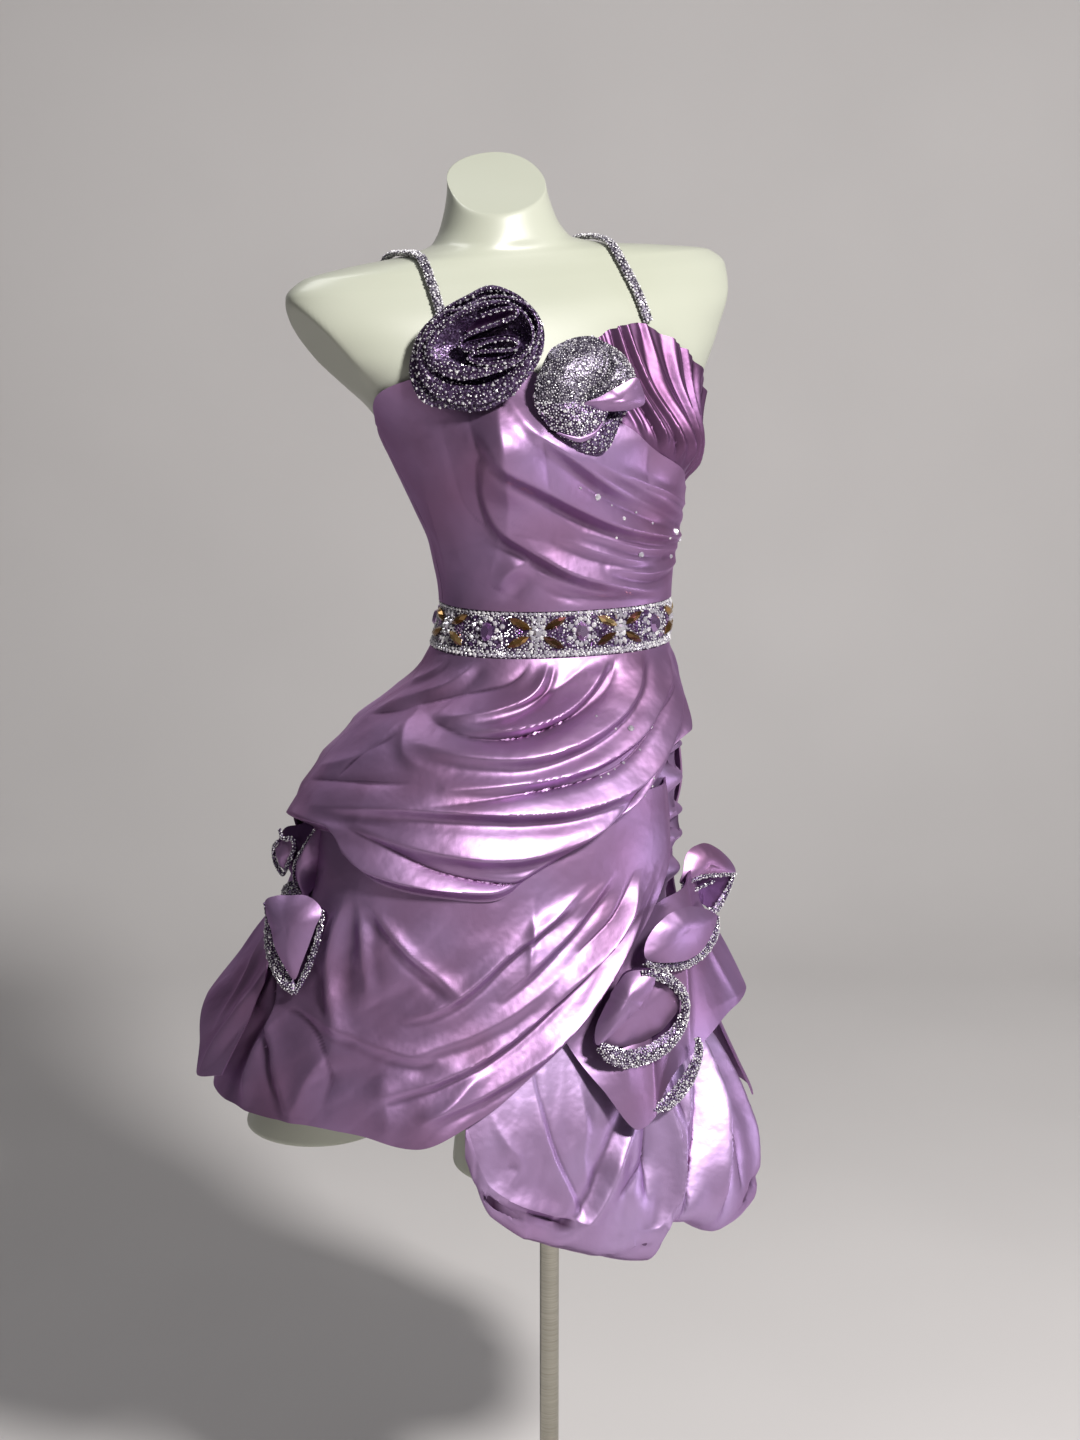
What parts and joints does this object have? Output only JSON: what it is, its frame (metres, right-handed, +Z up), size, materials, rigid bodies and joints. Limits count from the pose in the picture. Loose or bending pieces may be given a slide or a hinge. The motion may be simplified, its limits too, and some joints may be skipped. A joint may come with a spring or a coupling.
{
  "type": "homecoming dress on dress form",
  "caption": "Short satin dress with a draped bodice, beaded waistband, swagged skirt, bubble hem and fabric roses, standing on a limbless dress form with a pole and a round base",
  "frame": {"origin": "middle of the base's underside, on the pole's axis, where the stand meets the floor", "axes": "+Z up, -Y the dress's front, +X the wearer's left"},
  "size_m": [0.5766, 0.4214, 1.4289],
  "materials": {
    "satin": "lilac duchess satin, lustrous",
    "sequinned": "dark purple cloth covered in sequins, with silver bead edging",
    "beading": "close silver bead and stone work on cloth",
    "form_shell": "off-white gloss",
    "steel": "brushed"
  },
  "bodies": {
    "root": {"dress_form": "form_shell", "stand_pole": "steel", "stand_base": "steel", "bodice_front": "satin", "bodice_cup_left": "satin", "bodice_back": "satin", "strap_right": "beading", "strap_left": "beading", "waistband": "beading", "skirt_drape": "satin", "skirt_front": "satin", "skirt_back": "satin", "skirt_bubble": "satin", "skirt_cascade": "satin", "skirt_flounce": "satin", "rose_bust_large": "sequinned", "rose_bust_small": "beading", "petals_right_upper": "satin", "petals_right_lower": "satin", "petals_left_upper": "satin", "petals_left_middle": "satin", "petals_left_lower": "satin", "petals_left_tail": "beading"}
  },
  "joints": []
}
